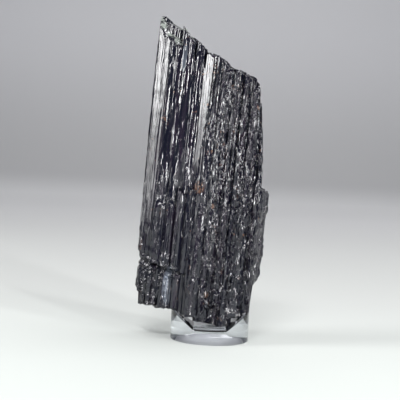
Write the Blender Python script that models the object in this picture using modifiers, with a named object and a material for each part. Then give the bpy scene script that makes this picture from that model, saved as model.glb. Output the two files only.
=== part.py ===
# Black tourmaline crystal standing in the channel of a clear round stand.
# Metres, +Z up. The origin is the centre of the stand's underside, and the
# crystal's broad striated face looks towards -Y.

import math
import random

import bmesh
import bpy
from mathutils import Vector

MM = 0.001

# The stand: a clear disc with a flat-floored channel cut through it from front to back.
STAND_RADIUS = 12.5 * MM
STAND_HEIGHT = 9.2 * MM
CHANNEL_FLOOR = 4.2 * MM
CHANNEL_FLOOR_WIDTH = 10.0 * MM
CHANNEL_SLOPE = math.radians(36)
STAND_EDGE = 0.3 * MM
STAND_SIDES = 64
REST_GAP = 0.3 * MM

# Every column of the crystal leans to the right by the same amount as it goes up, and
# its faces stand at steps of 30 degrees. The broad one looks forward.
LEAN = 0.065
FACE_STEP = 30
BROAD_FACE = -97

# The crystal's section in millimetres, seen from above where the leaning columns meet
# the level z = 0. It is two crystals grown together: each list runs round the outside of
# one, and the line back to its first corner lies within the other.
LEFT_SECTION = [
    (-11.0, 10.6), (-21.5, 7.6), (-26.2, 1.6), (-26.2, -2.0), (-22.0, -5.2), (-10.6, -6.6),
]
RIGHT_SECTION = [
    (-10.6, -6.6), (-8.1, -8.5), (8.0, -9.4), (12.0, -6.8), (13.6, -2.4), (13.6, 2.6),
    (9.0, 8.8), (-11.0, 10.6),
]
JOIN_X = -11.0 * MM
# Above the ledge on the right the crystal is narrower, and its flank there slopes in.
UPPER_RIGHT = [(5.5, -9.2), (8.6, -7.0), (9.8, -2.5), (9.8, 3.0), (6.0, 8.6)]
LEDGE_HEIGHT = 48.5 * MM
FLANK_FOOT = 10.6 * MM
FLANK_SLOPE = 0.096
FLANK_SCATTER = 0.9 * MM

# Lines in millimetres, (x, z) to (x, z), along which the solid middle of each crystal ends.
LEFT_TOPS = [((-26.2, 96.5), (-8.0, 84.5))]
LEFT_FEET = [((-26.2, 23.0), (-23.0, 14.0)), ((-23.0, 14.0), (0.0, 8.6))]
RIGHT_TOPS = [((-8.0, 86.0), (7.0, 76.0)), ((6.2, 80.0), (11.0, 30.0))]
RIGHT_FEET = [((-9.0, 9.0), (4.0, 7.6)), ((4.0, 7.6), (12.4, 27.5))]
CORE_INSET = 0.9 * MM
CORE_OVERLAP = 5.0 * MM

# Height in millimetres of the broken top, from the left edge of the section to the right.
TOP_PROFILE = [
    (-26.2, 101.6), (-24.0, 101.4), (-20.6, 98.4), (-16.0, 96.4), (-11.8, 92.6), (-7.7, 90.0),
    (-5.7, 89.4), (-1.4, 85.6), (3.0, 83.8), (6.6, 81.4), (8.6, 77.0),
]
# Height in millimetres of the broken foot, likewise.
FOOT_PROFILE = [
    (-26.2, 19.0), (-24.5, 14.4), (-22.0, 10.8), (-19.0, 9.8), (-13.0, 8.8), (-9.0, 7.6),
    (-5.0, 7.0), (-1.5, 5.6), (1.0, 4.6), (5.0, 4.6), (9.0, 9.6), (10.5, 15.8), (12.4, 18.0),
    (14.3, 27.0),
]
# The front of the top slopes down towards the viewer at the left.
CHIP_RIGHT = -16.0 * MM
CHIP_SLOPE = 1.1
CHIP_FRONT = -1.5 * MM
TOP_SLOPE_BACK = 0.25
FOOT_SLOPE = 0.08
FOOT_TILT = 0.2
REST_TILT = 0.07
TOP_TILT = 0.25
CHIP_TILT = (0.7, 1.2)
STEEPEST = 1.6

# A crack crosses the lower left: the columns above it end there and short ones start below.
CRACK_RIGHT = -13.5 * MM
CRACK_LEVEL = 25.8 * MM
CRACK_FALL = 0.32
CRACK_WIDTH = 1.3 * MM
BLOCK_INSET = 1.3 * MM
# Below this height the left front has a row of columns level with the right front.
SHELF_TOP = 48.0 * MM
SHELF_LINE = [(-21.5, -6.0), (-9.0, -8.0)]
# A hollow broken into the foot's front, where the columns end early.
HOLLOW_LEFT = -6.0 * MM
HOLLOW_RIGHT = 2.2 * MM
HOLLOW_TOP = 11.5 * MM

# Columns round the rim, and larger ones inside.
RIM_PITCH = 3.4 * MM
RIM_RADIUS = (1.5 * MM, 2.6 * MM)
RIM_PROUD = (-0.35 * MM, 0.1 * MM)
INNER_PITCH = 5.2 * MM
INNER_RADIUS = 3.4 * MM
ROW_RATIO = 0.87
BROAD_SCATTER = (0.9, 1.06)
NARROW_SCATTER = (1.0, 1.12)
TOP_SCATTER = 1.3 * MM
SHELF_SCATTER = 8.0 * MM
JOINT_OVERLAP = 4.0 * MM
SEED = 7
BLOCK_SIZE = 0.3


def lerp(a, b, t):
    return a + (b - a) * t


def profile_height(profile, x):
    """Height of a profile at x, straight between its points and level beyond its ends."""
    points = [(px * MM, pz * MM) for px, pz in profile]
    if x <= points[0][0]:
        return points[0][1]
    for (x0, z0), (x1, z1) in zip(points, points[1:]):
        if x <= x1:
            return lerp(z0, z1, (x - x0) / (x1 - x0))
    return points[-1][1]


def corners_of(section):
    return [Vector((x * MM, y * MM)) for x, y in section]


def outward_of(start, end):
    along = end - start
    return Vector((along.y, -along.x)).normalized()


def rim_places(section):
    """Points and outward directions at an even pitch along a section's outer sides."""
    places = []
    corners = corners_of(section)
    for start, end in zip(corners, corners[1:]):
        count = max(1, round((end - start).length / RIM_PITCH))
        for i in range(count):
            places.append((start.lerp(end, (i + 0.5) / count), outward_of(start, end)))
    return places


def is_inside(point, margin):
    """Whether a point lies this far inside the outer sides of its crystal."""
    corners = corners_of(LEFT_SECTION if point.x < JOIN_X else RIGHT_SECTION)
    sides = zip(corners, corners[1:])
    return all((point - a).dot(outward_of(a, b)) < -margin for a, b in sides)


def inner_places():
    """Points of a hexagonal grid that lie well inside the section."""
    places = []
    reach = math.ceil(abs(LEFT_SECTION[2][0]) * MM / INNER_PITCH) + 1
    for row in range(-reach, reach):
        for step in range(-reach, reach):
            x = (step + 0.5 * (row % 2)) * INNER_PITCH
            point = Vector((x, row * INNER_PITCH * ROW_RATIO))
            if is_inside(point, INNER_RADIUS * 0.8):
                places.append(point)
    return places


def profile_slope(profile, x, reach):
    """How steeply a profile rises across a column of this reach."""
    rise = profile_height(profile, x + reach) - profile_height(profile, x - reach)
    return max(-STEEPEST, min(STEEPEST, rise / (2 * reach)))


def top_height(point):
    """Height of the broken top over a point of the section."""
    height = profile_height(TOP_PROFILE, point.x)
    if point.x < CHIP_RIGHT:
        height -= CHIP_SLOPE * max(0.0, CHIP_FRONT - point.y)
    return height - TOP_SLOPE_BACK * max(0.0, point.y)


def channel_height(x):
    """Height of the stand's channel at x."""
    beside_floor = max(0.0, abs(x) - CHANNEL_FLOOR_WIDTH / 2)
    return CHANNEL_FLOOR + beside_floor * math.tan(CHANNEL_SLOPE)


def foot_height(point, reach):
    """Height of the broken foot, kept clear of the stand by a column of this reach."""
    height = profile_height(FOOT_PROFILE, point.x) + FOOT_SLOPE * abs(point.y)
    x = point.x + LEAN * height
    if math.hypot(x, point.y) < STAND_RADIUS + reach:
        slope_height = channel_height(min(abs(x) + reach, STAND_RADIUS))
        height = max(height, min(slope_height, STAND_HEIGHT) + 2 * REST_GAP)
    return height


def crack_height(x):
    """Height of the crack, which falls to the right."""
    return CRACK_LEVEL - CRACK_FALL * (x - LEFT_SECTION[2][0] * MM)


def side_plane(angle, point):
    """A face that looks at this angle and runs up the leaning columns past a point."""
    outward = Vector((math.cos(angle), math.sin(angle)))
    normal = Vector((outward.x, outward.y, -LEAN * outward.x)).normalized()
    return Vector((point.x, point.y, 0)), normal


def end_plane(point, height, slope_x, slope_y, up):
    """A broken end over a point of the section, rising by these slopes along X and Y."""
    place = Vector((point.x + LEAN * height, point.y, height))
    return place, Vector((-slope_x, -slope_y, 1)).normalized() * (1 if up else -1)


def flank_plane(rng):
    """The sloping right flank above the ledge, a little further in on some columns."""
    normal = Vector((1, 0, FLANK_SLOPE - LEAN)).normalized()
    x = FLANK_FOOT + LEAN * LEDGE_HEIGHT - rng.uniform(0.0, FLANK_SCATTER)
    return Vector((x, 0, LEDGE_HEIGHT)), normal


def side_faces(point, radius, rng):
    """The planes up the sides of a column, some of its faces broad and some narrow."""
    planes = []
    for k in range(360 // FACE_STEP):
        angle = math.radians(BROAD_FACE + FACE_STEP * k)
        outward = Vector((math.cos(angle), math.sin(angle)))
        scatter = BROAD_SCATTER if k % 2 == 0 else NARROW_SCATTER
        planes.append(side_plane(angle, point + outward * radius * rng.uniform(*scatter)))
    return planes


def broken_foot(point, radius, height, rng):
    """The lower end of a column, nearly level where it stands over the stand."""
    clear = height > STAND_HEIGHT + radius
    tilt = FOOT_TILT if clear else REST_TILT
    slope = profile_slope(FOOT_PROFILE, point.x, radius) if clear else 0.0
    slope_x = slope + rng.uniform(-tilt, tilt)
    return end_plane(point, height, slope_x, rng.uniform(-tilt, tilt), False)


def broken_top(point, radius, height, rng):
    """The upper end of a column, which falls to the front as well at the upper left."""
    slope_x = profile_slope(TOP_PROFILE, point.x, radius) + rng.uniform(-TOP_TILT, TOP_TILT)
    if point.x < CHIP_RIGHT and point.y < 0:
        slope_y = rng.uniform(*CHIP_TILT)
        return end_plane(point, height - slope_y * radius, slope_x, slope_y, True)
    return end_plane(point, height, slope_x, rng.uniform(-TOP_TILT, TOP_TILT), True)


def column(point, radius, low, high, rng):
    """The planes of a column, in two lengths where it crosses the sloping right flank."""
    sides = side_faces(point, radius, rng)
    foot = broken_foot(point, radius, low, rng)
    top = broken_top(point, radius, high, rng)
    if point.x + radius < FLANK_FOOT - FLANK_SLOPE * (high - LEDGE_HEIGHT):
        return [sides + [foot, top]]
    ledge = broken_top(point, radius, LEDGE_HEIGHT - rng.uniform(0.0, TOP_SCATTER), rng)
    if point.x > FLANK_FOOT:
        return [sides + [foot, ledge]]
    joint = end_plane(point, LEDGE_HEIGHT - JOINT_OVERLAP, 0, 0, False)
    return [sides + [foot, ledge], sides + [joint, top, flank_plane(rng)]]


def rim_columns(rng):
    """Columns round the outside, parted by the crack at the lower left."""
    columns = []
    for place, outward in rim_places(LEFT_SECTION) + rim_places(RIGHT_SECTION):
        radius = rng.uniform(*RIM_RADIUS)
        point = place - outward * (radius - rng.uniform(*RIM_PROUD))
        low = foot_height(point, radius)
        high = top_height(point) - rng.uniform(0.0, TOP_SCATTER)
        if point.x < CRACK_RIGHT:
            crack = crack_height(point.x)
            block = point - outward * BLOCK_INSET * max(0.0, -outward.x)
            columns += column(block, radius, low, crack - CRACK_WIDTH, rng)
            low = crack
        if HOLLOW_LEFT < point.x < HOLLOW_RIGHT and point.y < 0:
            low = HOLLOW_TOP - rng.uniform(0.0, TOP_SCATTER)
        columns += column(point, radius, low, high, rng)
    return columns


def flank_columns(rng):
    """Columns of the narrower right end, above the ledge."""
    columns = []
    for place, outward in rim_places(UPPER_RIGHT):
        radius = rng.uniform(*RIM_RADIUS)
        point = place - outward * (radius - rng.uniform(*RIM_PROUD))
        high = top_height(point) - rng.uniform(0.0, TOP_SCATTER)
        columns += column(point, radius, LEDGE_HEIGHT - JOINT_OVERLAP, high, rng)[-1:]
    return columns


def shelf_columns(rng):
    """The row in front of the lower left."""
    columns = []
    for place, outward in rim_places(SHELF_LINE):
        radius = rng.uniform(*RIM_RADIUS)
        point = place - outward * radius
        high = SHELF_TOP - rng.uniform(0.0, SHELF_SCATTER)
        columns += column(point, radius, crack_height(point.x), high, rng)
    return columns


def inner_columns(rng):
    """Columns inside, which show at the broken top and foot."""
    columns = []
    for point in inner_places():
        radius = INNER_RADIUS * rng.uniform(*BROAD_SCATTER)
        low = foot_height(point, radius)
        high = top_height(point) - rng.uniform(0.0, TOP_SCATTER)
        columns += column(point, radius, low, high, rng)
    return columns


def core(section, overlap, tops, feet):
    """The solid middle of one crystal, cut along its section's sides and its end lines."""
    planes = []
    corners = corners_of(section)
    for start, end in zip(corners, corners[1:]):
        outward = outward_of(start, end)
        angle = math.atan2(outward.y, outward.x)
        planes.append(side_plane(angle, start - outward * CORE_INSET))
    planes.append(side_plane(0.0 if overlap > 0 else math.pi, corners[0] + Vector((overlap, 0))))
    for lines, up in ((tops, True), (feet, False)):
        for (x0, z0), (x1, z1) in lines:
            slope = (z1 - z0) / (x1 - x0)
            slope_x = slope / (1 + LEAN * slope)
            planes.append(end_plane(Vector((x0, 0)) * MM, z0 * MM, slope_x, 0, up))
    return planes


def make_object(name, mesh, collection):
    """Links a bmesh as an object of that name and frees it."""
    bmesh.ops.recalc_face_normals(mesh, faces=mesh.faces)
    data = bpy.data.meshes.new(name)
    mesh.to_mesh(data)
    mesh.free()
    made = bpy.data.objects.new(name, data)
    collection.objects.link(made)
    return made


def cut_block(name, planes, collection):
    """A block with everything beyond each plane cut away and each cut closed."""
    mesh = bmesh.new()
    bmesh.ops.create_cube(mesh, size=BLOCK_SIZE)
    for point, normal in planes:
        geometry = mesh.verts[:] + mesh.edges[:] + mesh.faces[:]
        found = bmesh.ops.bisect_plane(
            mesh, geom=geometry, plane_co=point, plane_no=normal, clear_outer=True
        )
        rim = [e for e in found["geom_cut"] if isinstance(e, bmesh.types.BMEdge)]
        if rim:
            bmesh.ops.contextual_create(mesh, geom=rim)
    return make_object(name, mesh, collection)


def combine(target, operation, other):
    """Joins or cuts the target with an object or with all objects of a collection."""
    boolean = target.modifiers.new(operation.lower(), "BOOLEAN")
    boolean.operation = operation
    boolean.solver = "EXACT"
    if isinstance(other, bpy.types.Collection):
        boolean.operand_type = "COLLECTION"
        boolean.collection = other
    else:
        boolean.object = other


def as_guide(made):
    made.hide_render = True
    made.display_type = "WIRE"


def tourmaline_material():
    material = bpy.data.materials.new("black_tourmaline")
    material.use_nodes = True
    shader = material.node_tree.nodes["Principled BSDF"]
    shader.inputs["Base Color"].default_value = (0.016, 0.015, 0.019, 1)
    shader.inputs["Roughness"].default_value = 0.28
    shader.inputs["Metallic"].default_value = 0.0
    return material


def clear_material():
    material = bpy.data.materials.new("clear_acrylic")
    material.use_nodes = True
    shader = material.node_tree.nodes["Principled BSDF"]
    shader.inputs["Base Color"].default_value = (0.95, 0.97, 0.98, 1)
    shader.inputs["Roughness"].default_value = 0.03
    shader.inputs["Metallic"].default_value = 0.0
    shader.inputs["Transmission Weight"].default_value = 1.0
    shader.inputs["IOR"].default_value = 1.49
    return material


def make_crystal(parts, columns_collection):
    """The crystal: its solid middle joined with all its columns."""
    rng = random.Random(SEED)
    columns = rim_columns(rng) + flank_columns(rng) + shelf_columns(rng) + inner_columns(rng)
    columns.append(core(LEFT_SECTION, CORE_OVERLAP, LEFT_TOPS, LEFT_FEET))
    for i, planes in enumerate(columns):
        as_guide(cut_block(f"column_{i}", planes, columns_collection))
    middle = core(RIGHT_SECTION, -CORE_OVERLAP, RIGHT_TOPS, RIGHT_FEET)
    crystal = cut_block("tourmaline_crystal", middle, parts)
    combine(crystal, "UNION", columns_collection)
    crystal.data.materials.append(tourmaline_material())


def make_stand(parts, cutters):
    """The clear disc, its edges eased, with the channel cut through it."""
    mesh = bmesh.new()
    bmesh.ops.create_cone(
        mesh,
        cap_ends=True,
        segments=STAND_SIDES,
        radius1=STAND_RADIUS,
        radius2=STAND_RADIUS,
        depth=STAND_HEIGHT,
    )
    bmesh.ops.translate(mesh, verts=mesh.verts, vec=(0, 0, STAND_HEIGHT / 2))
    stand = make_object("acrylic_stand", mesh, parts)
    edge = stand.modifiers.new("edge", "BEVEL")
    edge.width = STAND_EDGE
    edge.segments = 2
    edge.limit_method = "ANGLE"
    half = CHANNEL_FLOOR_WIDTH / 2
    rise = Vector((math.sin(CHANNEL_SLOPE), 0, -math.cos(CHANNEL_SLOPE)))
    fall = Vector((-rise.x, 0, rise.z))
    planes = [
        (Vector((half, 0, CHANNEL_FLOOR)), rise),
        (Vector((-half, 0, CHANNEL_FLOOR)), fall),
        (Vector((0, 0, CHANNEL_FLOOR)), Vector((0, 0, -1))),
    ]
    channel = cut_block("channel", planes, cutters)
    as_guide(channel)
    combine(stand, "DIFFERENCE", channel)
    stand.data.shade_smooth()
    stand.data.set_sharp_from_angle(angle=math.radians(30))
    stand.data.materials.append(clear_material())


def new_collection(name):
    collection = bpy.data.collections.new(name)
    bpy.context.scene.collection.children.link(collection)
    return collection


def main():
    for old in list(bpy.data.objects):
        bpy.data.objects.remove(old)
    parts = new_collection("tourmaline_on_stand")
    make_crystal(parts, new_collection("columns"))
    make_stand(parts, new_collection("cutters"))


main()
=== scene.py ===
import math
import random

import bmesh
import bpy
import numpy as np
from mathutils import Matrix, Vector


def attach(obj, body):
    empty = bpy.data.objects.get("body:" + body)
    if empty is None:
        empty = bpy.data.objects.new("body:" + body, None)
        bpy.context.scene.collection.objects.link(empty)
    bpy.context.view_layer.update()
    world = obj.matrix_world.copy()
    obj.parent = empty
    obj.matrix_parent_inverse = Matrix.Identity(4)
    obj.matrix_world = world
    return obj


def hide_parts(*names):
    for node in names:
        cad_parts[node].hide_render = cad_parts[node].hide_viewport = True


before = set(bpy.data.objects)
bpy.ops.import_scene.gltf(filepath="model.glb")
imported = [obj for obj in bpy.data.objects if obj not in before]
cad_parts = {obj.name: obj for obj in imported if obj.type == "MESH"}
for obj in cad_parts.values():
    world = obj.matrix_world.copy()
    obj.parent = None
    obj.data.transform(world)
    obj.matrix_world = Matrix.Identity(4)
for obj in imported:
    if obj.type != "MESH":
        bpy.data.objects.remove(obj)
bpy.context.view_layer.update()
mm = 0.001

# the sizes that the solids were built from, in millimetres where no unit is given
part = {
    "standRadius": 12.5 * mm,
    "standHeight": 9.2 * mm,
    "channelFloor": 4.2 * mm,
    "channelFloorWidth": 10.0 * mm,
    "channelSlope": math.radians(36),
    "restGap": 0.3 * mm,
    "lean": 0.065,              # every column leans this much to the right as it goes up
    "faceStep": 30,             # degrees
    "broadFace": -97,
    "leftSection": [
        (-11.0, 10.6), (-21.5, 7.6), (-26.2, 1.6), (-26.2, -2.0), (-22.0, -5.2), (-10.6, -6.6),
    ],
    "rightSection": [
        (-10.6, -6.6), (-8.1, -8.5), (8.0, -9.4), (12.0, -6.8), (13.6, -2.4), (13.6, 2.6),
        (9.0, 8.8), (-11.0, 10.6),
    ],
    "joinX": -11.0 * mm,
    "upperRight": [(5.5, -9.2), (8.6, -7.0), (9.8, -2.5), (9.8, 3.0), (6.0, 8.6)],
    "ledgeHeight": 48.5 * mm,
    "flankFoot": 10.6 * mm,
    "flankSlope": 0.096,
    "flankScatter": 0.9 * mm,
    "leftTops": [((-26.2, 96.5), (-8.0, 84.5))],
    "leftFeet": [((-26.2, 23.0), (-23.0, 14.0)), ((-23.0, 14.0), (0.0, 8.6))],
    "rightTops": [((-8.0, 86.0), (7.0, 76.0)), ((6.2, 80.0), (11.0, 30.0))],
    "rightFeet": [((-9.0, 9.0), (4.0, 7.6)), ((4.0, 7.6), (12.4, 27.5))],
    "coreInset": 0.9 * mm,
    "coreOverlap": 5.0 * mm,
    "topProfile": [
        (-26.2, 101.6), (-24.0, 101.4), (-20.6, 98.4), (-16.0, 96.4), (-11.8, 92.6),
        (-7.7, 90.0), (-5.7, 89.4), (-1.4, 85.6), (3.0, 83.8), (6.6, 81.4), (8.6, 77.0),
    ],
    "footProfile": [
        (-26.2, 19.0), (-24.5, 14.4), (-22.0, 10.8), (-19.0, 9.8), (-13.0, 8.8), (-9.0, 7.6),
        (-5.0, 7.0), (-1.5, 5.6), (1.0, 4.6), (5.0, 4.6), (9.0, 9.6), (10.5, 15.8), (12.4, 18.0),
        (14.3, 27.0),
    ],
    "chipRight": -16.0 * mm,
    "chipSlope": 1.1,
    "chipFront": -1.5 * mm,
    "topSlopeBack": 0.25,
    "footSlope": 0.08,
    "footTilt": 0.2,
    "restTilt": 0.07,
    "topTilt": 0.25,
    "chipTilt": (0.7, 1.2),
    "steepest": 1.6,
    "crackRight": -13.5 * mm,
    "crackLevel": 25.8 * mm,
    "crackFall": 0.32,
    "crackWidth": 1.3 * mm,
    "blockInset": 1.3 * mm,
    "shelfTop": 48.0 * mm,
    "shelfLine": [(-21.5, -6.0), (-9.0, -8.0)],
    "hollowLeft": -6.0 * mm,
    "hollowRight": 2.2 * mm,
    "hollowTop": 11.5 * mm,
    "rimPitch": 3.4 * mm,
    "rimRadius": (1.5 * mm, 2.6 * mm),
    "rimProud": (-0.35 * mm, 0.1 * mm),
    "innerPitch": 5.2 * mm,
    "innerRadius": 3.4 * mm,
    "rowRatio": 0.87,
    "broadScatter": (0.9, 1.06),
    "narrowScatter": (1.0, 1.12),
    "topScatter": 1.3 * mm,
    "shelfScatter": 8.0 * mm,
    "jointOverlap": 4.0 * mm,
    "seed": 7,
}

# the camera stands level with the middle of the crystal and is turned a little on its side
cameraSet = {
    "distance": 265 * mm,
    "aimX": -4.8 * mm,
    "aimZ": 44.2 * mm,
    "eyeHeight": 49.3 * mm,
    "frameWidth": 128 * mm,     # what the picture spans at the crystal
    "roll": 2.5,                # degrees
}


# height of a profile at x, straight between its points and level beyond them
def profileHeight(profile, x):
    xs, zs = zip(*profile)
    return float(np.interp(x / mm, xs, zs)) * mm


# (h(x + r) - h(x - r)) / 2r, held within the steepest slope
def profileSlope(profile, x, reach):
    rise = profileHeight(profile, x + reach) - profileHeight(profile, x - reach)
    return max(-part["steepest"], min(part["steepest"], rise / (2 * reach)))


# the section's corners (X, Y) in metres
def cornersOf(section):
    return [Vector((x * mm, y * mm)) for x, y in section]


# the side's direction (dx, dy) turned a quarter to the right: (dy, -dx) / length
def outwardOf(start, end):
    along = end - start
    return Vector((along.y, -along.x)).normalized()


# points (i + 1/2) / count along each side of a section, with the side's outward direction
def rimPlaces(section):
    places = []
    corners = cornersOf(section)
    for start, end in zip(corners, corners[1:]):
        count = max(1, round((end - start).length / part["rimPitch"]))
        for i in range(count):
            places.append((start.lerp(end, (i + 0.5) / count), outwardOf(start, end)))
    return places


# a point is inside where (p - a) . outward < -margin for every side from a to b
def isInside(point, margin):
    left = point.x < part["joinX"]
    corners = cornersOf(part["leftSection"] if left else part["rightSection"])
    sides = zip(corners, corners[1:])
    return all((point - a).dot(outwardOf(a, b)) < -margin for a, b in sides)


# a hexagonal grid, x = (step + 1/2 in odd rows) pitch and y = row ratio pitch, kept inside
def innerPlaces():
    places = []
    pitch = part["innerPitch"]
    reach = math.ceil(abs(part["leftSection"][2][0]) * mm / pitch) + 1
    for row in range(-reach, reach):
        for step in range(-reach, reach):
            x = (step + 0.5 * (row % 2)) * pitch
            point = Vector((x, row * pitch * part["rowRatio"]))
            if isInside(point, part["innerRadius"] * 0.8):
                places.append(point)
    return places


# the top profile, less slope times distance before the chip's line and behind the middle
def topHeight(point):
    height = profileHeight(part["topProfile"], point.x)
    if point.x < part["chipRight"]:
        height -= part["chipSlope"] * max(0.0, part["chipFront"] - point.y)
    return height - part["topSlopeBack"] * max(0.0, point.y)


# floor + (|x| - half floor) tan(slope)
def channelHeight(x):
    besideFloor = max(0.0, abs(x) - part["channelFloorWidth"] / 2)
    return part["channelFloor"] + besideFloor * math.tan(part["channelSlope"])


# the foot profile, kept clear of the stand below it
def footHeight(point, reach):
    height = profileHeight(part["footProfile"], point.x) + part["footSlope"] * abs(point.y)
    x = point.x + part["lean"] * height
    if math.hypot(x, point.y) < part["standRadius"] + reach:
        slopeHeight = channelHeight(min(abs(x) + reach, part["standRadius"]))
        height = max(height, min(slopeHeight, part["standHeight"]) + 2 * part["restGap"])
    return height


# level - fall (x - left end)
def crackHeight(x):
    return part["crackLevel"] - part["crackFall"] * (x - part["leftSection"][2][0] * mm)


# a face past a point that follows the lean: n = (cos a, sin a, -lean cos a)
def sidePlane(angle, point):
    outward = Vector((math.cos(angle), math.sin(angle)))
    normal = Vector((outward.x, outward.y, -part["lean"] * outward.x)).normalized()
    return Vector((point.x, point.y, 0)), normal


# a broken end: n = (-slopeX, -slopeY, 1), turned over for a lower end
def endPlane(point, height, slopeX, slopeY, up):
    place = Vector((point.x + part["lean"] * height, point.y, height))
    return place, Vector((-slopeX, -slopeY, 1)).normalized() * (1 if up else -1)


# n = (1, 0, slope - lean) through a point of the ledge, up to the scatter further in
def flankPlane(rng):
    normal = Vector((1, 0, part["flankSlope"] - part["lean"])).normalized()
    foot = part["flankFoot"] + part["lean"] * part["ledgeHeight"]
    return Vector((foot - rng.uniform(0.0, part["flankScatter"]), 0, part["ledgeHeight"])), normal


# faces every faceStep degrees, each at radius times its scatter from the column's axis
def sideFaces(point, radius, rng):
    planes = []
    for k in range(360 // part["faceStep"]):
        angle = math.radians(part["broadFace"] + part["faceStep"] * k)
        outward = Vector((math.cos(angle), math.sin(angle)))
        scatter = part["broadScatter"] if k % 2 == 0 else part["narrowScatter"]
        planes.append(sidePlane(angle, point + outward * radius * rng.uniform(*scatter)))
    return planes


# tilted at random, and following the foot profile's slope where it is clear of the stand
def brokenFoot(point, radius, height, rng):
    clear = height > part["standHeight"] + radius
    tilt = part["footTilt"] if clear else part["restTilt"]
    slope = profileSlope(part["footProfile"], point.x, radius) if clear else 0.0
    slopeX = slope + rng.uniform(-tilt, tilt)
    return endPlane(point, height, slopeX, rng.uniform(-tilt, tilt), False)


# following the top profile's slope, tilted at random and steep to the front on the chip
def brokenTop(point, radius, height, rng):
    tilt = part["topTilt"]
    slopeX = profileSlope(part["topProfile"], point.x, radius) + rng.uniform(-tilt, tilt)
    if point.x < part["chipRight"] and point.y < 0:
        slopeY = rng.uniform(*part["chipTilt"])
        return endPlane(point, height - slopeY * radius, slopeX, slopeY, True)
    return endPlane(point, height, slopeX, rng.uniform(-tilt, tilt), True)


# sides and ends, in two lengths where the column's top lies beyond the sloping flank:
# x + radius > foot of the flank - slope (high - ledge)
def column(point, radius, low, high, rng):
    sides = sideFaces(point, radius, rng)
    foot = brokenFoot(point, radius, low, rng)
    top = brokenTop(point, radius, high, rng)
    ledgeZ, flank = part["ledgeHeight"], part["flankFoot"]
    if point.x + radius < flank - part["flankSlope"] * (high - ledgeZ):
        return [sides + [foot, top]]
    ledge = brokenTop(point, radius, ledgeZ - rng.uniform(0.0, part["topScatter"]), rng)
    if point.x > flank:
        return [sides + [foot, ledge]]
    joint = endPlane(point, ledgeZ - part["jointOverlap"], 0, 0, False)
    return [sides + [foot, ledge], sides + [joint, top, flankPlane(rng)]]


# columns round the outside, r inside the section's sides, parted by crack and hollow
def rimColumns(rng):
    columns = []
    for place, outward in rimPlaces(part["leftSection"]) + rimPlaces(part["rightSection"]):
        radius = rng.uniform(*part["rimRadius"])
        point = place - outward * (radius - rng.uniform(*part["rimProud"]))
        low = footHeight(point, radius)
        high = topHeight(point) - rng.uniform(0.0, part["topScatter"])
        if point.x < part["crackRight"]:
            crack = crackHeight(point.x)
            block = point - outward * part["blockInset"] * max(0.0, -outward.x)
            columns += column(block, radius, low, crack - part["crackWidth"], rng)
            low = crack
        if part["hollowLeft"] < point.x < part["hollowRight"] and point.y < 0:
            low = part["hollowTop"] - rng.uniform(0.0, part["topScatter"])
        columns += column(point, radius, low, high, rng)
    return columns


# the same along the narrower section above the ledge
def flankColumns(rng):
    columns = []
    for place, outward in rimPlaces(part["upperRight"]):
        radius = rng.uniform(*part["rimRadius"])
        point = place - outward * (radius - rng.uniform(*part["rimProud"]))
        high = topHeight(point) - rng.uniform(0.0, part["topScatter"])
        low = part["ledgeHeight"] - part["jointOverlap"]
        columns += column(point, radius, low, high, rng)[-1:]
    return columns


# a row in front of the lower left, from the crack up to the shelf less its scatter
def shelfColumns(rng):
    columns = []
    for place, outward in rimPlaces(part["shelfLine"]):
        radius = rng.uniform(*part["rimRadius"])
        point = place - outward * radius
        high = part["shelfTop"] - rng.uniform(0.0, part["shelfScatter"])
        columns += column(point, radius, crackHeight(point.x), high, rng)
    return columns


# columns on the inner grid, from the foot's height to the top's
def innerColumns(rng):
    columns = []
    for point in innerPlaces():
        radius = part["innerRadius"] * rng.uniform(*part["broadScatter"])
        low = footHeight(point, radius)
        high = topHeight(point) - rng.uniform(0.0, part["topScatter"])
        columns += column(point, radius, low, high, rng)
    return columns


# the solid middle of one crystal: its sides drawn in by the inset, and its end lines, whose
# slope in the leaning section is slope / (1 + lean slope)
def core(section, overlap, tops, feet):
    planes = []
    corners = cornersOf(section)
    for start, end in zip(corners, corners[1:]):
        outward = outwardOf(start, end)
        angle = math.atan2(outward.y, outward.x)
        planes.append(sidePlane(angle, start - outward * part["coreInset"]))
    side = 0.0 if overlap > 0 else math.pi
    planes.append(sidePlane(side, corners[0] + Vector((overlap, 0))))
    for lines, up in ((tops, True), (feet, False)):
        for (x0, z0), (x1, z1) in lines:
            slope = (z1 - z0) / (x1 - x0)
            slopeX = slope / (1 + part["lean"] * slope)
            planes.append(endPlane(Vector((x0, 0)) * mm, z0 * mm, slopeX, 0, up))
    return planes


# every column as the planes that bound it, in the solids' own order and from the same seed
def crystalColumns():
    rng = random.Random(part["seed"])
    columns = rimColumns(rng) + flankColumns(rng) + shelfColumns(rng) + innerColumns(rng)
    overlap = part["coreOverlap"]
    columns.append(core(part["leftSection"], overlap, part["leftTops"], part["leftFeet"]))
    columns.append(core(part["rightSection"], -overlap, part["rightTops"], part["rightFeet"]))
    return [np.array([[*place, *normal] for place, normal in planes]) for planes in columns]


# where rays enter and leave one column: t = n . (place - origin) / n . direction, the last
# of the entries and the first of the exits
def passThrough(planes, origins, directions):
    enter = np.full(len(origins), -1.0)
    leave = np.full(len(origins), 1.0)
    for plane in planes:
        place, normal = plane[:3], plane[3:]
        speed = directions @ normal
        distance = (place - origins) @ normal
        level = np.abs(speed) < 1e-9
        t = distance / np.where(level, 1.0, speed)
        leave = np.where(~level & (speed > 0), np.minimum(leave, t), leave)
        enter = np.where(~level & (speed < 0), np.maximum(enter, t), enter)
        leave = np.where(level & (distance < 0), -2.0, leave)
    return enter, leave


# the farthest exit of each ray from all the columns together, or the bottom of the first
def farthestExit(columns, origins, directions):
    farthest = np.full(len(origins), -1.0)
    for planes in columns:
        enter, leave = passThrough(planes, origins, directions)
        farthest = np.where(leave > enter, np.maximum(farthest, leave), farthest)
    return farthest


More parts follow.
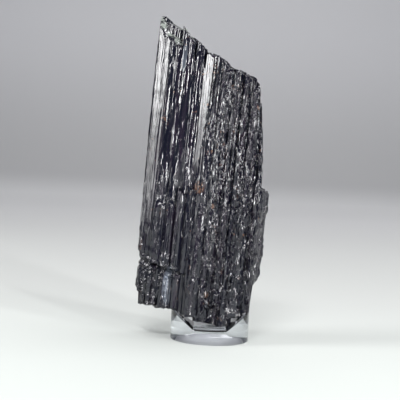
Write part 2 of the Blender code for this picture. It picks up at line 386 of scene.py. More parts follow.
# the crystal's skin: a grid round a line through its middle, closed over the top and foot
skin = {
    "lineLeft": -19.5 * mm,     # the line runs level through the section, at X on the lean
    "lineRight": 7.0 * mm,
    "lineY": 1.0 * mm,
    "frontSamples": 136,
    "rightSamples": 112,
    "leftSamples": 96,
    "rows": 163,
    "lowLevel": 20 * mm,        # rows above the foot's zone start here, and higher at the right
    "lowLevelRight": 30 * mm,
    "highLevel": 74 * mm,
    "slideStart": 9.0 * mm,     # where the start of the rows begins to rise, and over what width
    "slideWidth": 3.0 * mm,
    "referenceLevel": 76 * mm,  # the section at this height sets the places round the skin
    "insideShare": 0.985,       # ends are looked up this far out
    "lowShare": 0.2,            # of the rows, in the foot's zone and the top's
    "highShare": 0.3,
    "upwardReach": 0.2,         # metres, of the rays along the lean
    "leastReach": 0.4 * mm,
    "leastWall": 0.3 * mm,
    "middleTop": 80 * mm,       # ends where a ray meets no column
    "middleFoot": 12 * mm,
    "chipSize": 0.7 * mm,       # of the broken ends' grain, and its height
    "chipHeight": 0.22 * mm,
    "topRings": 24,
    "footRings": 18,
    "rayReach": 60 * mm,
    "tipRise": 1.1 * mm,        # the upper left corner stands this much higher
    "tipRight": -16.0 * mm,
    "tipWidth": 2.0 * mm,
    "teeth": (0.7 * mm, 0.5 * mm),      # how far single ribs stand out at the top and at the foot
    "toothWidth": 1.0 * mm,
    "toothReach": (4.0 * mm, 3.0 * mm),
    "closestSteps": 0.35 * mm,  # the longest step round the section that counts towards w
}

# ribs and pits along the skin, as heights over the columns' own faces
relief = {
    "seed": 11,
    "step": 0.22 * mm,          # across the ribs
    "ribSlope": 0.577,          # 30 degrees, the angle between the crystal's faces
    "ribDepth": 0.34 * mm,
    "rods": 260,
    "rodHeight": (0.1 * mm, 0.26 * mm),
    "rodWidth": (0.5 * mm, 1.6 * mm),
    "rodLength": (8 * mm, 60 * mm),
    "rodStart": (-20.0 * mm, 95.0 * mm),
    "pitDepth": 0.32 * mm,
    # grooves beside the crack: how far below its upper lip, how deep and how wide
    "grooves": [
        (0.7 * mm, 0.9 * mm, 0.5 * mm), (2.6 * mm, 0.5 * mm, 0.35 * mm), (-1.6 * mm, 0.35 * mm, 0.3 * mm),
    ],
    "crustLeft": -6.0 * mm,     # the crusty side starts here
    "blockTop": 24.0 * mm,      # and so does the block below the crack
    # faces in the section, from left to right, the heights between which they show, how much they
    # narrow towards the foot and what is left of the ribs on them
    "smoothFaces": [
        ((-25.9, -2.2), (-22.3, -4.95), 31, 120, 0.0, 0.4),
        ((-21.9, -5.05), (-11.0, -6.25), 50, 120, 0.0, 0.45),
        ((-10.8, -6.25), (-8.1, -8.35), 50, 120, 0.6, 0.2),
        ((-20.1, -5.25), (-19.45, -5.75), 80, 120, 0.0, 0.2),
        ((-6.9, -8.75), (-6.4, -9.15), 70, 120, 0.0, 0.2),
        ((-18.9, -5.5), (-18.45, -5.85), 9, 22, 0.0, 0.2),
    ],
    "faceBlend": 0.25 * mm,
    "faceFade": 6.0 * mm,       # over this height they come in from below
    "taperZone": (78.0 * mm, 50.0 * mm),
    "wander": 0.25 * mm,        # how far ribs stray sideways as they go up
    "keepSlope": 0.45,          # the chance that a rib's slope goes on at the next step
    "grain": 0.13 * mm,         # height of the fine crust
    "crustWidth": 4.0 * mm,
    "calmZone": (36.0 * mm, 46.0 * mm),
    "sink": 0.1 * mm,           # the skin lies this much inside the columns' faces on average
    "edgeAngle": 24,            # degrees, from which an edge stays sharp
}


# places on the middle line and directions round it: front, right end, back, left end
def roundTheMiddle():
    left, right = skin["lineLeft"], skin["lineRight"]
    along = np.linspace(left, right, skin["frontSamples"])
    fan = np.linspace(-90, 90, skin["rightSamples"] + 2)[1:-1]
    farFan = np.linspace(90, 270, skin["leftSamples"] + 2)[1:-1]
    x = np.concatenate([along, np.full(len(fan), right), along[::-1], np.full(len(farFan), left)])
    degrees = np.concatenate([np.full(len(along), -90.0), fan, np.full(len(along), 90.0), farFan])
    angle = np.radians(degrees)
    return x, np.cos(angle), np.sin(angle)


# origin (X + lean z, y, z) in space for places in the section
def leaned(x, y, z):
    return np.stack(np.broadcast_arrays(x + part["lean"] * z, y, z), -1)


# distance from the middle line to the skin at each height: the farthest exit of level rays
def reachAt(columns, x, dx, dy, z):
    shape = np.broadcast(x, z).shape
    origins = leaned(*np.broadcast_arrays(x, skin["lineY"], z)).reshape(-1, 3)
    across = np.stack(np.broadcast_arrays(dx, dy, np.zeros(shape)), -1).reshape(-1, 3)
    reach = farthestExit(columns, origins, across * skin["rayReach"]) * skin["rayReach"]
    return np.maximum(reach, skin["leastReach"]).reshape(shape)


# rise (right - x) / width, held to 0..1: the upper left corner stands higher
def tipRiseAt(x):
    return skin["tipRise"] * np.clip((skin["tipRight"] - x) / skin["tipWidth"], 0, 1)


# top and foot over places of the section: last exit and first entry along the lean
def endsAt(columns, x, y, fallbackTop, fallbackFoot):
    shape = np.broadcast(x, y).shape
    base = np.stack(np.broadcast_arrays(x, y, np.zeros(shape)), -1).reshape(-1, 3)
    reach = skin["upwardReach"]
    upward = np.broadcast_to([part["lean"] * reach, 0.0, reach], base.shape)
    top = np.full(len(base), -1.0)
    foot = np.full(len(base), 2.0)
    for planes in columns:
        enter, leave = passThrough(planes, base, upward)
        hit = leave > enter
        top = np.where(hit, np.maximum(top, leave), top)
        foot = np.where(hit, np.minimum(foot, enter), foot)
    top, foot = top.reshape(shape), foot.reshape(shape)
    top = np.where(top > 0, top * reach, fallbackTop) + tipRiseAt(x)
    foot = np.where(foot < 2, foot * reach, fallbackFoot)
    return top, foot


# smooth noise in [-1, 1] on a lattice, its cells blended by 3t^2 - 2t^3
def smoothNoise(u, v, seed):
    rng = np.random.default_rng(seed)
    lattice = rng.uniform(-1, 1, (257, 257))
    iu, iv = np.floor(u).astype(int), np.floor(v).astype(int)
    fu, fv = u - iu, v - iv
    fu, fv = fu * fu * (3 - 2 * fu), fv * fv * (3 - 2 * fv)
    a, b = iu % 257, (iu + 1) % 257
    c, d = iv % 257, (iv + 1) % 257
    low = lattice[a, c] * (1 - fu) + lattice[b, c] * fu
    high = lattice[a, d] * (1 - fu) + lattice[b, d] * fu
    return low * (1 - fv) + high * fv


# rib profile: slopes of -30, 0 or 30 degrees, turned back where it strays beyond its depth
def ribProfile(length, rng):
    count = int(length / relief["step"]) + 2
    heights, height, slope = [], 0.0, 0.0
    for i in range(count):
        if rng.random() < 1 - relief["keepSlope"]:
            pull = -height / relief["ribDepth"]
            slope = rng.choice([-1, 0, 1]) if abs(pull) < 0.8 else math.copysign(1, pull)
        height += slope * relief["ribSlope"] * relief["step"]
        heights.append(height)
    return np.array(heights) - np.mean(heights)


# the distance to a smooth face, (p - o) . n / d . n, and 1 within its length and heights
def smoothFace(face, x, dx, dy, z):
    start, end, low, high, taper = face
    start, end = np.array(start) * mm, np.array(end) * mm
    along = (end - start) / np.hypot(*(end - start))
    normal = np.array([along[1], -along[0]])
    facing = dx * normal[0] + dy * normal[1]
    facing = np.where(facing > 0.2, facing, 1e-3)
    reach = ((start[0] - x) * normal[0] + (start[1] - skin["lineY"]) * normal[1]) / facing
    place = (x + dx * reach - start[0]) * along[0] + (skin["lineY"] + dy * reach - start[1]) * along[1]
    blend = relief["faceBlend"]
    length = np.hypot(*(end - start))
    narrowTop, narrowFoot = relief["taperZone"]
    narrow = taper * length * np.clip((narrowTop - z) / (narrowTop - narrowFoot), 0, 1)
    inside = np.clip(np.minimum(place, length - narrow - place) / blend + 1, 0, 1)
    ends = np.clip((z - low * mm) / relief["faceFade"], 0, 1) * (z < high * mm)
    return reach, inside * ends * (facing > 0.2)


# how strongly each place is ribbed, and how crusty: the right side is both, and the block
# below the crack is crusty too; ribs = 0.9 + 0.4 right - 0.3 calm
def roughness(x, z):
    right = np.clip((x - relief["crustLeft"]) / relief["crustWidth"], 0, 1)
    block = 0.6 * np.clip((relief["blockTop"] - z) / (3 * mm), 0, 1) * (x < part["crackRight"])
    low, high = relief["calmZone"]
    calm = np.clip((z - low) / (high - low), 0, 1) * (1 - right)
    return 0.9 + 0.4 * right - 0.3 * calm, np.maximum(right, block)


# height over the columns' faces = (ribs + rods - grooves) rough + crust
def reliefAt(w, x, y, z, length):
    rng = random.Random(relief["seed"])
    ribs = ribProfile(length, rng)
    places = np.arange(len(ribs)) * relief["step"]
    drift = relief["wander"] * smoothNoise(w / (3 * mm), z / (30 * mm), 3)
    height = np.interp(w + drift, places, ribs)
    for i in range(relief["rods"]):
        middle = rng.uniform(0, length)
        width = rng.uniform(*relief["rodWidth"])
        tall = rng.uniform(*relief["rodHeight"]) * rng.choice([-1, 1])
        low = rng.uniform(*relief["rodStart"])
        high = low + rng.uniform(*relief["rodLength"])
        near = (np.abs(w - middle) < width) & (z > low) & (z < high)
        flat = np.clip((width - np.abs(w - middle)) / (0.35 * width), 0, 1)
        height = height + np.where(near, tall * flat, 0.0)
    lip = crackHeight(x) + 0.5 * mm * smoothNoise(w / (1.5 * mm), w * 0, 14)
    broken = (x < part["crackRight"] + 2 * mm) & (y < 3 * mm)
    for below, deep, wide in relief["grooves"]:
        height = height - np.where(broken, deep * np.exp(-((z - lip + below) / wide) ** 2), 0.0)
    rough, right = roughness(x, z)
    fine = smoothNoise(w / (0.6 * mm), z / (1.2 * mm), 5) + smoothNoise(w / (1.2 * mm), z / (2.4 * mm), 6)
    pits = np.clip(smoothNoise(w / (0.9 * mm), z / (1.8 * mm), 8) - 0.25, 0, 1)
    crust = (0.25 + 0.75 * right) * (relief["grain"] * fine - relief["pitDepth"] * pits)
    return height * rough + crust + 0.02 * mm * fine * rough


# the skin's grid: walls at the columns' faces plus relief, x + d (reach + relief), with rows
# from foot to top at each place round it, between rings over the foot and over the top
def crystalSkin():
    columns = crystalColumns()
    x, dx, dy = roundTheMiddle()
    count = len(x)
    middleY = skin["lineY"]
    reference = reachAt(columns, x, dx, dy, np.full(count, skin["referenceLevel"]))
    inner = skin["insideShare"] * reference
    middleLine = np.full(count, middleY)
    midTop, midFoot = endsAt(columns, x, middleLine, skin["middleTop"], skin["middleFoot"])
    highTop = endsAt(columns, x + dx * inner, middleY + dy * inner, midTop, midFoot)[0]
    slide = np.clip((x + dx * reference - skin["slideStart"]) / skin["slideWidth"], 0, 1)
    lowLevel = skin["lowLevel"] + slide * (skin["lowLevelRight"] - skin["lowLevel"])
    lowReach = skin["insideShare"] * reachAt(columns, x, dx, dy, lowLevel + 2 * mm)
    lowFoot = endsAt(columns, x + dx * lowReach, middleY + dy * lowReach, midTop, midFoot)[1]
    # w runs round the section in metres
    px, py = x + dx * reference, middleY + dy * reference
    steps = np.hypot(np.diff(px, append=px[:1]), np.diff(py, append=py[:1]))
    steps = np.minimum(steps, skin["closestSteps"])
    w = np.concatenate([[0.0], np.cumsum(steps)[:-1]])
    length = float(steps.sum())
    lowFoot = np.minimum(lowFoot, lowLevel - 1 * mm)
    upper = np.maximum(highTop, skin["highLevel"] + 0.5 * mm)
    rows = skin["rows"]
    lowRows, highRows = int(rows * skin["lowShare"]), int(rows * skin["highShare"])
    middleRows = rows - lowRows - highRows
    t = np.linspace(0, 1, lowRows, endpoint=False)[:, None]
    low = lowFoot + (lowLevel - lowFoot) * t
    t = np.linspace(0, 1, middleRows, endpoint=False)[:, None]
    middle = lowLevel + (skin["highLevel"] - lowLevel) * t
    t = np.linspace(0, 1, highRows)[:, None]
    high = skin["highLevel"] + (upper - skin["highLevel"]) * t
    z = np.concatenate([low, middle, high])
    # walls under the raised tip are looked up as much lower as they were raised
    stretch = np.clip((z - skin["highLevel"]) / (highTop - skin["highLevel"]), 0, 1) ** 2
    sunk = z - tipRiseAt(x) * stretch
    wall = reachAt(columns, x[None, :], dx[None, :], dy[None, :], sunk)

    sx, sy = x + dx * wall, middleY + dy * wall
    raised = reliefAt(np.broadcast_to(w, z.shape), sx, sy, z, length)
    ribbed = np.ones(z.shape)
    for *face, ribsLeft in relief["smoothFaces"]:
        flat, amount = smoothFace(face, x[None, :], dx[None, :], dy[None, :], z)
        amount = amount * (z < upper - 0.5 * mm)
        wall = wall + (flat - wall) * amount
        ribbed = ribbed + (ribsLeft - ribbed) * amount
    raised = raised * ribbed
    wall = np.maximum(wall + raised - relief["sink"], skin["leastWall"])
    tooth = smoothNoise(w / skin["toothWidth"], w * 0, 31)
    topTeeth, footTeeth = skin["teeth"]
    topZone, footZone = skin["toothReach"]
    nearTop = np.clip((z - upper) / topZone + 1, 0, 1) ** 2
    nearFoot = np.clip(1 - (z - lowFoot) / footZone, 0, 1) ** 2
    z = z + topTeeth * tooth * nearTop + footTeeth * np.abs(tooth) * nearFoot
    wallPoints = leaned(x + dx * wall, middleY + dy * wall, z)

    # rings at rho = 1..0 of the way out, on the columns' ends, which 0 is the top's
    def cap(edge, edgeZ, rings, which):
        rho = np.linspace(1, 0, rings + 1)[1:, None]
        cx, cy = x + dx * edge * rho, middleY + dy * edge * rho
        cz = endsAt(columns, cx, cy, midTop, midFoot)[which]
        size = skin["chipSize"]
        cz = cz + smoothNoise(cx / size, cy / size, 21) * skin["chipHeight"] * (rho > 0)
        cz = np.where(rho > 0.9, 0.5 * cz + 0.5 * edgeZ, cz)
        return leaned(cx, cy, cz)

    topPoints = cap(wall[-1], z[-1], skin["topRings"], 0)
    footPoints = cap(wall[0], z[0], skin["footRings"], 1)
    return np.concatenate([footPoints[::-1], wallPoints, topPoints])


# quads between neighbours of a grid that closes on itself, outward faces
def gridFaces(rowCount, count):
    i = np.arange(rowCount - 1)[:, None] * count
    j = np.arange(count)[None, :]
    k = (j + 1) % count
    quads = np.stack([i + j, i + k, i + count + k, i + count + j], -1)
    return quads.reshape(-1, 4)


# points that coincide become one, and faces that lose a corner become triangles
def meshFromGrid(name, grid):
    rowCount, count = grid.shape[:2]
    points = grid.reshape(-1, 3)
    keys = np.round(points / (0.002 * mm)).astype(np.int64)
    _, first, back = np.unique(keys, axis=0, return_index=True, return_inverse=True)
    faces = back.reshape(-1)[gridFaces(rowCount, count)]
    same = [faces[:, a] == faces[:, (a + 1) % 4] for a in range(4)]
    lost = sum(s.astype(int) for s in same)
    opposite = (faces[:, 0] == faces[:, 2]) | (faces[:, 1] == faces[:, 3])
    whole = faces[(lost == 0) & ~opposite]
    triangles = [faces[s & (lost == 1) & ~opposite] for s in same]
    triangles = [np.delete(t, a, axis=1) for a, t in enumerate(triangles)]
    polygons = [list(map(int, f)) for f in whole] + [list(map(int, f)) for t in triangles for f in t]
    mesh = bpy.data.meshes.new(name)
    mesh.from_pydata(points[first].tolist(), [], polygons)
    mesh.validate()
    mesh.shade_smooth()
    mesh.set_sharp_from_angle(angle=math.radians(relief["edgeAngle"]))
    return mesh


# an object of that name at the origin, with the mesh as it is
def linked(name, mesh):
    made = bpy.data.objects.new(name, mesh)
    bpy.context.scene.collection.objects.link(made)
    return made


# the camera looks from (aimX, -distance, eyeHeight) to (aimX, 0, aimZ), then rolls
def makeCamera():
    data = bpy.data.cameras.new("studioCamera")
    data.sensor_width = 36
    data.lens = 36 * cameraSet["distance"] / cameraSet["frameWidth"]
    data.clip_start = 0.01
    camera = bpy.data.objects.new("studioCamera", data)
    bpy.context.scene.collection.objects.link(camera)
    eye = Vector((cameraSet["aimX"], -cameraSet["distance"], cameraSet["eyeHeight"]))
    aim = Vector((cameraSet["aimX"], 0, cameraSet["aimZ"]))
    turn = (aim - eye).to_track_quat("-Z", "Y").to_matrix().to_4x4()
    roll = Matrix.Rotation(math.radians(cameraSet["roll"]), 4, "Z")
    camera.matrix_world = Matrix.Translation(eye) @ turn @ roll
    bpy.context.scene.camera = camera


# black glassy stone. Places are X and z in millimetres, and a pair is where something starts
# and where it is full
stone = {
    "black": (0.003, 0.003, 0.009, 1),
    "violet": (0.015, 0.010, 0.020, 1),
    "grey": (0.009, 0.011, 0.016, 1),
    "rust": (0.150, 0.085, 0.055, 1),
    # painted sheen: a grey-green put on the upward facing chips of the tip, standing in for the light that
    # they catch from above
    "paintedTipSheen": (0.300, 0.330, 0.300, 1),
    # painted highlight: a bluish grey put on the front faces in the spots below, standing in for their
    # reflection of the light
    "paintedHighlight": (0.190, 0.215, 0.265, 1),
    # spots: X, z, half width, half height
    "paintedHighlightSpots": [(-14.9, 17.0, 2.0, 7.0), (-17.3, 89.7, 0.8, 6.5)],
    "rustSpots": [
        (-8.4, 48.3, 2.1, 2.4), (-25.6, 29.0, 1.4, 6.0), (-3.6, 42.6, 0.8, 1.0), (-2.6, 15.0, 0.8, 1.2),
    ],
    "ior": 1.64,
    "roughness": 0.11,
    "crustRoughness": 0.03,     # added on the crust
    "faceRoughness": 0.06,      # added on the smooth faces
    "chipGloss": 0.05,          # taken off on the chips
    "crustSide": (-10.0, -1.0),
    "bands": (0.42, 0.52),      # the crust lies in bands along the crystal
    "blockSide": (-13.0, -15.0),
    "blockLevel": (26.0, 22.0),
    "leftFace": (-21.7, -22.3),
    "leftFaceLevel": (26.0, 54.0),
    "middleFaceLeft": (-11.3, -10.9),
    "middleFaceRight": (-7.7, -8.1),
    "middleFaceLevel": (50.0, 53.0),
    "tipSide": (-14.0, -17.0),
    "tipLevel": (90.0, 92.0),
    "ribBump": 0.30 * mm,       # heights of the bumps
    "crustBump": 0.3 * mm,
    "bladeBump": 1.0 * mm,
    "chipBump": 1.3 * mm,
    "lowChipGain": 1.2,         # how much taller the chips are below the low heights
    "lowChips": (46.0, 32.0),
}


# a material's node tree: each method adds a node and gives its output
class Nodes:
    def __init__(self, name):
        self.material = bpy.data.materials.new(name)
        self.material.use_nodes = True
        self.tree = self.material.node_tree
        self.shader = self.tree.nodes["Principled BSDF"]

    # a node of that kind with its inputs set or linked
    def add(self, kind, **inputs):
        node = self.tree.nodes.new(kind)
        for key, value in inputs.items():
            self.put(node, key.replace("_", " "), value)
        return node

    # links a socket, or sets a value
    def put(self, node, key, value):
        socket = node.inputs[int(key)] if key.isdigit() else node.inputs[key]
        if isinstance(value, bpy.types.NodeSocket):
            self.tree.links.new(value, socket)
        else:
            socket.default_value = value

    # a op b on numbers
    def math(self, operation, a, b=0.0, clamp=False):
        node = self.tree.nodes.new("ShaderNodeMath")
        node.operation = operation
        node.use_clamp = clamp
        self.put(node, "0", a)
        self.put(node, "1", b)
        return node.outputs[0]

    # a op b on vectors
    def vector(self, operation, a, b):
        node = self.tree.nodes.new("ShaderNodeVectorMath")
        node.operation = operation
        self.put(node, "0", a)
        self.put(node, "1", b)
        return node.outputs["Value" if operation == "DOT_PRODUCT" else "Vector"]

    # (value - low) / (high - low), held to 0..1 and eased
    def ramp(self, value, low, high):
        node = self.tree.nodes.new("ShaderNodeMapRange")
        node.interpolation_type = "SMOOTHSTEP"
        self.put(node, "Value", value)
        self.put(node, "From Min", low)
        self.put(node, "From Max", high)
        return node.outputs["Result"]

    # a (1 - factor) + b factor
    def mixed(self, factor, a, b):
        node = self.tree.nodes.new("ShaderNodeMix")
        node.data_type = "RGBA"
        self.put(node, "0", factor)
        self.put(node, "6", a)
        self.put(node, "7", b)
        return node.outputs[2]

    # noise of that scale for each millimetre, 0..1
    def noise(self, vector, scale, detail=3.0, rough=0.55):
        node = self.add("ShaderNodeTexNoise", Vector=vector, Scale=scale, Detail=detail, Roughness=rough)
        return node.outputs["Fac"]

    # the normal turned by the slope of height times distance
    def bump(self, height, distance, strength=1.0, normal=None):
        node = self.add("ShaderNodeBump", Height=height, Distance=distance, Strength=strength)
        if normal is not None:
            self.put(node, "Normal", normal)
        return node.outputs["Normal"]


# prism coordinates in millimetres: X = x - lean z, Y = y, Z = z
def prismCoordinates(n):
    place = n.add("ShaderNodeTexCoord").outputs["Object"]
    apart = n.add("ShaderNodeSeparateXYZ", Vector=place)
    x, y, z = apart.outputs
    straight = n.math("SUBTRACT", x, n.math("MULTIPLY", z, part["lean"]))
    return [n.math("MULTIPLY", value, 1 / mm) for value in (straight, y, z)]


# (x, y, z) as one vector
def joined(n, x, y, z):
    return n.add("ShaderNodeCombineXYZ", X=x, Y=y, Z=z).outputs[0]


# cells that each lean their own way: height = (p - middle) . (colour - 1/2)
def facets(n, place, scale):
    cells = n.add("ShaderNodeTexVoronoi", Vector=place, Scale=scale)
    aside = n.vector("SUBTRACT", cells.outputs["Color"], (0.5, 0.5, 0.5))
    offset = n.vector("SUBTRACT", place, cells.outputs["Position"])
    return n.vector("DOT_PRODUCT", offset, aside)


# 1 inside an ellipse: eased from ((X - X0) / wide)^2 + ((Z - Z0) / tall)^2 = 1 to 0.2
def spotMask(n, x, z, spot):
    spotX, spotZ, wide, tall = spot
    across = n.math("DIVIDE", n.math("SUBTRACT", x, spotX), wide)
    along = n.math("DIVIDE", n.math("SUBTRACT", z, spotZ), tall)
    place = joined(n, across, along, 0.0)
    return n.ramp(n.vector("DOT_PRODUCT", place, place), 1.0, 0.2)


# (x, y, squeeze z), so that a pattern on it is drawn out along the height
def drawnOut(n, x, y, z, squeeze):
    return joined(n, x, y, n.math("MULTIPLY", z, squeeze))


# the patches of the stone, each a product of ramps, 0..1
def stonePatches(n, x, y, z, lines, crust):
    def within(value, name):
        return n.ramp(value, *stone[name])

    block = n.math("MULTIPLY", within(x, "blockSide"), within(z, "blockLevel"))
    right = n.math("MAXIMUM", within(x, "crustSide"), n.math("MULTIPLY", block, 0.8))
    bands = n.math("ADD", n.math("MULTIPLY", within(lines, "bands"), 0.75), 0.25)
    right = n.math("MULTIPLY", right, bands)
    leftFace = n.math("MULTIPLY", within(x, "leftFace"), n.ramp(y, 0.5, -1.0))
    leftFace = n.math("MULTIPLY", leftFace, within(z, "leftFaceLevel"))
    inFront = n.math("MULTIPLY", n.ramp(y, -5.6, -6.0), within(z, "middleFaceLevel"))
    middleFace = n.math("MULTIPLY", within(x, "middleFaceLeft"), within(x, "middleFaceRight"))
    smooth = n.math("MAXIMUM", leftFace, n.math("MULTIPLY", middleFace, inFront))
    geometry = n.tree.nodes.new("ShaderNodeNewGeometry")
    facing = n.add("ShaderNodeSeparateXYZ", Vector=geometry.outputs["Normal"])
    # the tip's mask holds only chips that face upwards; besides their bumps and gloss it carries the
    # painted sheen in stoneColour
    upward = n.ramp(facing.outputs["Z"], 0.25, 0.5)
    tip = n.math("MULTIPLY", n.math("MULTIPLY", within(x, "tipSide"), within(z, "tipLevel")), upward)
    crusty = n.math("MAXIMUM", n.math("MULTIPLY", right, n.ramp(crust, 0.38, 0.5)), tip)
    return right, smooth, tip, crusty


# normal = bumps of ribs, less on smooth faces and crust, and of crust, blades and chips on their
# patches, with the chips times 1 + gain below the low heights
def stoneNormal(n, x, y, z, lines, crust, patches):
    right, smooth, _, crusty = patches
    hair = n.noise(drawnOut(n, x, y, z, 0.04), 1.9, 1.0, 0.5)
    blades = facets(n, drawnOut(n, x, y, z, 0.07), 1.7)
    chips = facets(n, drawnOut(n, x, y, z, 0.45), 0.85)
    ribbed = n.math("SUBTRACT", 1.0, n.math("MULTIPLY", smooth, 0.7))
    ribbed = n.math("SUBTRACT", ribbed, n.math("MULTIPLY", right, 0.3))
    low = n.math("ADD", n.math("MULTIPLY", n.ramp(z, *stone["lowChips"]), stone["lowChipGain"]), 1.0)
    bladed = n.math("ADD", n.math("MULTIPLY", right, 0.7), 0.3)
    bladed = n.math("MULTIPLY", n.math("SUBTRACT", 1.0, smooth), bladed)
    normal = n.bump(n.math("MULTIPLY", n.math("ADD", hair, lines), ribbed), stone["ribBump"])
    normal = n.bump(n.math("MULTIPLY", crust, right), stone["crustBump"], 0.8, normal)
    normal = n.bump(n.math("MULTIPLY", blades, bladed), stone["bladeBump"], 1.0, normal)
    chips = n.math("MULTIPLY", n.math("MULTIPLY", chips, low), crusty)
    return n.bump(chips, stone["chipBump"], 1.0, normal)


# black, mixed by noise with violet and grey, then rust where its spots are, a painted bluish highlight on
# the highlight spots, and a painted grey-green sheen on the tip's upward facing chips
def stoneColour(n, x, y, z, lines, rough, tip):
    place = joined(n, x, y, z)
    inFront = n.ramp(y, -3.0, -4.0)
    wide, fine = n.noise(place, 0.16), n.noise(place, 0.9)
    rust = n.math("MULTIPLY", n.ramp(wide, 0.52, 0.66), n.ramp(fine, 0.60, 0.70))
    speckled = n.math("MULTIPLY", n.ramp(n.noise(place, 1.6, 2.0), 0.42, 0.58), inFront)
    for spot in stone["rustSpots"]:
        rust = n.math("MAXIMUM", rust, n.math("MULTIPLY", spotMask(n, x, z, spot), speckled))
    violet = n.ramp(n.noise(drawnOut(n, x, y, z, 0.05), 0.5), 0.45, 0.7)
    colour = n.mixed(violet, stone["black"], stone["violet"])
    colour = n.mixed(n.math("MULTIPLY", rough, 0.5), colour, stone["grey"])
    colour = n.mixed(n.math("MULTIPLY", rust, 0.7), colour, stone["rust"])
    # painted highlight: the bluish grey on its spots, along the lines, on the front only
    for spot in stone["paintedHighlightSpots"]:
        paintedHighlight = n.math("MULTIPLY", spotMask(n, x, z, spot), n.ramp(lines, 0.35, 0.6))
        colour = n.mixed(n.math("MULTIPLY", paintedHighlight, inFront), colour, stone["paintedHighlight"])
    # painted sheen on the tip's upward facing chips, in patches
    sheenPatches = n.ramp(n.noise(drawnOut(n, x, y, z, 0.35), 0.8, 1.0), 0.38, 0.6)
    return n.mixed(n.math("MULTIPLY", n.math("MULTIPLY", tip, sheenPatches), 0.8), colour, stone["paintedTipSheen"])


# roughness = base + crust + smooth faces - chips, each times its patch
def stoneMaterial():
    n = Nodes("blackTourmaline")
    x, y, z = prismCoordinates(n)
    lines = n.noise(drawnOut(n, x, y, z, 0.05), 0.5, 1.0, 0.5)
    crust = n.noise(drawnOut(n, x, y, z, 0.35), 1.0, 2.0, 0.6)
    rough = n.ramp(crust, 0.42, 0.62)
    patches = stonePatches(n, x, y, z, lines, crust)
    _, smooth, tip, crusty = patches
    n.put(n.shader, "Normal", stoneNormal(n, x, y, z, lines, crust, patches))
    n.put(n.shader, "Base Color", stoneColour(n, x, y, z, lines, rough, tip))
    n.put(n.shader, "IOR", stone["ior"])
    dull = n.math("MULTIPLY", rough, stone["crustRoughness"])
    dull = n.math("ADD", dull, n.math("MULTIPLY", smooth, stone["faceRoughness"]))
    dull = n.math("SUBTRACT", dull, n.math("MULTIPLY", crusty, stone["chipGloss"]))
    n.put(n.shader, "Roughness", n.math("ADD", dull, stone["roughness"]))
    return n.material


# clear acrylic: plain transmission with a faint blue absorption
clear = {
    "ior": 1.49,
    "roughness": 0.02,
    "colour": (0.93, 0.96, 1.0, 1),
    "edge": 0.2 * mm,
    "edgeSteps": 4,
    "sides": 192,
}


# Principled with transmission 1: light goes through, bent by the IOR and tinted by the colour
def clearMaterial():
    n = Nodes("clearAcrylic")
    n.put(n.shader, "Base Color", clear["colour"])
    n.put(n.shader, "Roughness", clear["roughness"])
    n.put(n.shader, "IOR", clear["ior"])
    n.put(n.shader, "Transmission Weight", 1.0)
    return n.material


# half the width of the disc at depth y: sqrt(radius^2 - y^2); the channel's two slopes
# meet its floor at half the floor's width
def standSkin():
    mesh = bpy.data.meshes.new("stand")
    made = bmesh.new()
    bmesh.ops.create_cone(
        made, cap_ends=True, segments=clear["sides"], radius1=part["standRadius"],
        radius2=part["standRadius"], depth=part["standHeight"],
    )
    bmesh.ops.translate(made, verts=made.verts, vec=(0, 0, part["standHeight"] / 2))
    made.to_mesh(mesh)
    made.free()
    stand = linked("stand", mesh)
    half, high = part["channelFloorWidth"] / 2, 3 * part["standHeight"]
    spread = half + (high - part["channelFloor"]) / math.tan(part["channelSlope"])
    deep = 2 * part["standRadius"]
    section = [(-half, part["channelFloor"]), (half, part["channelFloor"]), (spread, high), (-spread, high)]
    points = [(x, y, z) for y in (-deep, deep) for x, z in section]
    faces = [(0, 1, 2, 3), (7, 6, 5, 4), (0, 4, 5, 1), (1, 5, 6, 2), (2, 6, 7, 3), (3, 7, 4, 0)]
    cutterMesh = bpy.data.meshes.new("channel")
    cutterMesh.from_pydata(points, [], faces)
    cutter = linked("channel", cutterMesh)
    cut = stand.modifiers.new("channel", "BOOLEAN")
    cut.operation, cut.solver, cut.object = "DIFFERENCE", "EXACT", cutter
    edge = stand.modifiers.new("edge", "BEVEL")
    edge.width, edge.segments, edge.limit_method = clear["edge"], clear["edgeSteps"], "ANGLE"
    edge.angle_limit = math.radians(25)
    bpy.context.view_layer.update()
    baked = bpy.data.meshes.new_from_object(stand.evaluated_get(bpy.context.evaluated_depsgraph_get()))
    stand.modifiers.clear()
    stand.data = baked
    bpy.data.objects.remove(cutter)
    baked.shade_smooth()
    baked.set_sharp_from_angle(angle=math.radians(20))
    return stand


# the studio: a pale floor that rises into a grey backdrop, its colour graded by place as painted light and
# shade
studio = {
    "floorBack": 2.4,           # metres behind the part
    "curve": 0.9,               # radius of the sweep
    "wallTop": 3.5,
    "halfWidth": 3.5,
    "front": 1.6,
    "curveSteps": 24,
    "sunk": 0.05 * mm,          # the floor lies this far under the stand
    # painted light and shade: the paper is a little lighter near the stand and much lighter far back,
    # darker in a band where the floor meets the wall, and lighter higher up the wall
    "nearLitPaper": (0.585, 0.62, 0.59, 1),
    "middlePaper": (0.575, 0.59, 0.57, 1),
    # painted shade: a dark strip of floor in front, out of the picture, standing in for the dark
    # surroundings so that the stone reflects dark
    "frontShadePaper": (0.28, 0.28, 0.285, 1),       # out of the picture, and keeps the stone black
    "farLitPaper": (0.95, 0.95, 0.95, 1),
    "lowWallShade": (0.66, 0.66, 0.665, 1),
    "highWallLit": (0.86, 0.86, 0.88, 1),
    # between which y or z each passes to the next
    "middleFrom": (-0.08, 0.14),
    "frontFrom": (-0.11, -0.32),
    "farFrom": (0.0, 1.1),
    "lowWallFrom": (-0.03, 0.075),
    "highWallFrom": (0.06, 0.75),
    "paperRoughness": 0.9,
    "paperSheen": 0.1,
    "world": (0.86, 0.92, 1.1, 1),
    "worldStrength": 0.08,
}


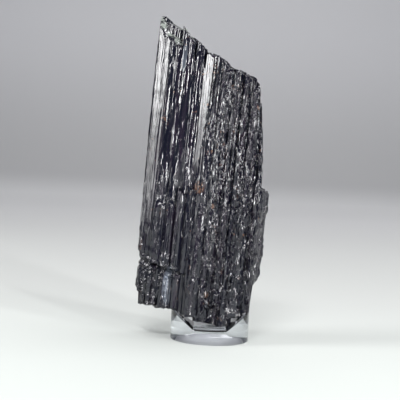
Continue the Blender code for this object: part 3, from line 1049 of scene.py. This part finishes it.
# the sweep's section: level to the curve's start, a quarter circle, then upright
def stageSweep():
    back, radius = studio["floorBack"], studio["curve"]
    angles = np.linspace(0, math.pi / 2, studio["curveSteps"])
    section = [(-studio["front"], 0.0)]
    section += [(back + radius * math.sin(a), radius * (1 - math.cos(a))) for a in angles]
    section.append((back + radius, studio["wallTop"]))
    side = studio["halfWidth"]
    points = [(x, y, z - studio["sunk"]) for y, z in section for x in (-side, side)]
    faces = [(2 * i, 2 * i + 1, 2 * i + 3, 2 * i + 2) for i in range(len(section) - 1)]
    mesh = bpy.data.meshes.new("sweep")
    mesh.from_pydata(points, [], faces)
    mesh.shade_smooth()
    sweep = linked("sweep", mesh)
    n = Nodes("paper")
    place = n.add("ShaderNodeTexCoord").outputs["Object"]
    x, y, z = n.add("ShaderNodeSeparateXYZ", Vector=place).outputs
    # the paper's colour graded by place: painted light and shade that stand in for how the lamps' light
    # falls off
    colour = n.mixed(n.ramp(y, *studio["middleFrom"]), studio["nearLitPaper"], studio["middlePaper"])
    colour = n.mixed(n.ramp(y, *studio["frontFrom"]), colour, studio["frontShadePaper"])
    colour = n.mixed(n.ramp(y, *studio["farFrom"]), colour, studio["farLitPaper"])
    colour = n.mixed(n.ramp(z, *studio["lowWallFrom"]), colour, studio["lowWallShade"])
    colour = n.mixed(n.ramp(z, *studio["highWallFrom"]), colour, studio["highWallLit"])
    n.put(n.shader, "Base Color", colour)
    n.put(n.shader, "Roughness", studio["paperRoughness"])
    n.put(n.shader, "Specular IOR Level", studio["paperSheen"])
    sweep.data.materials.append(n.material)
    return sweep


# soft boxes: place, aim, width, height in metres, power in watts
lamps = {
    "leftBox": ((-0.62, -0.15, 0.28), (-0.02, 0, 0.07), 0.24, 0.24, 3.1),
    "leftLow": ((-0.62, -0.15, 0.095), (-0.02, 0, 0.05), 0.24, 0.11, 0.42),
    "overhead": ((0.5, 0.9, 1.9), (0.5, 0.9, 0), 2.6, 3.0, 18.8),
    "topBox": ((0.36, 0.06, 0.84), (0.06, 0, 0.05), 0.45, 0.42, 2.3),
    "frontRight": ((0.34, -0.58, 0.16), (0, 0, 0.05), 0.04, 0.30, 3.5),
    "rightStrip": ((0.55, -0.50, 0.20), (0, 0, 0.05), 0.08, 0.40, 3.6),
    "frontTop": ((-0.10, -0.55, 0.60), (0, 0, 0.05), 0.22, 0.14, 3.0),
    "wall": ((-0.4, 1.9, 2.4), (-0.4, 3.3, 1.6), 3.2, 0.8, 18.0),
}


# each lamp's -Z turned along aim - place
def makeLights():
    for name, (place, aim, width, height, power) in lamps.items():
        data = bpy.data.lights.new(name, "AREA")
        data.shape = "RECTANGLE"
        data.size, data.size_y, data.energy = width, height, power
        lamp = bpy.data.objects.new(name, data)
        lamp.location = place
        lamp.rotation_euler = (Vector(aim) - Vector(place)).to_track_quat("-Z", "Y").to_euler()
        bpy.context.scene.collection.objects.link(lamp)
    world = bpy.data.worlds.new("studio")
    world.use_nodes = True
    background = world.node_tree.nodes["Background"]
    background.inputs["Color"].default_value = studio["world"]
    background.inputs["Strength"].default_value = studio["worldStrength"]
    bpy.context.scene.world = world
    bpy.context.scene.view_settings.view_transform = "Standard"


crystal = linked("crystal", meshFromGrid("crystal", crystalSkin()))
crystal.data.materials.append(stoneMaterial())
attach(crystal, "root")
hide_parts("tourmaline_crystal")
print("crystal", len(crystal.data.vertices), "points", len(crystal.data.polygons), "faces")
stand = standSkin()
stand.data.materials.clear()
stand.data.materials.append(clearMaterial())
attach(stand, "root")
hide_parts("acrylic_stand")
print("stand", len(stand.data.polygons), "faces")
stageSweep()
makeLights()
makeCamera()
print("studio and camera placed")
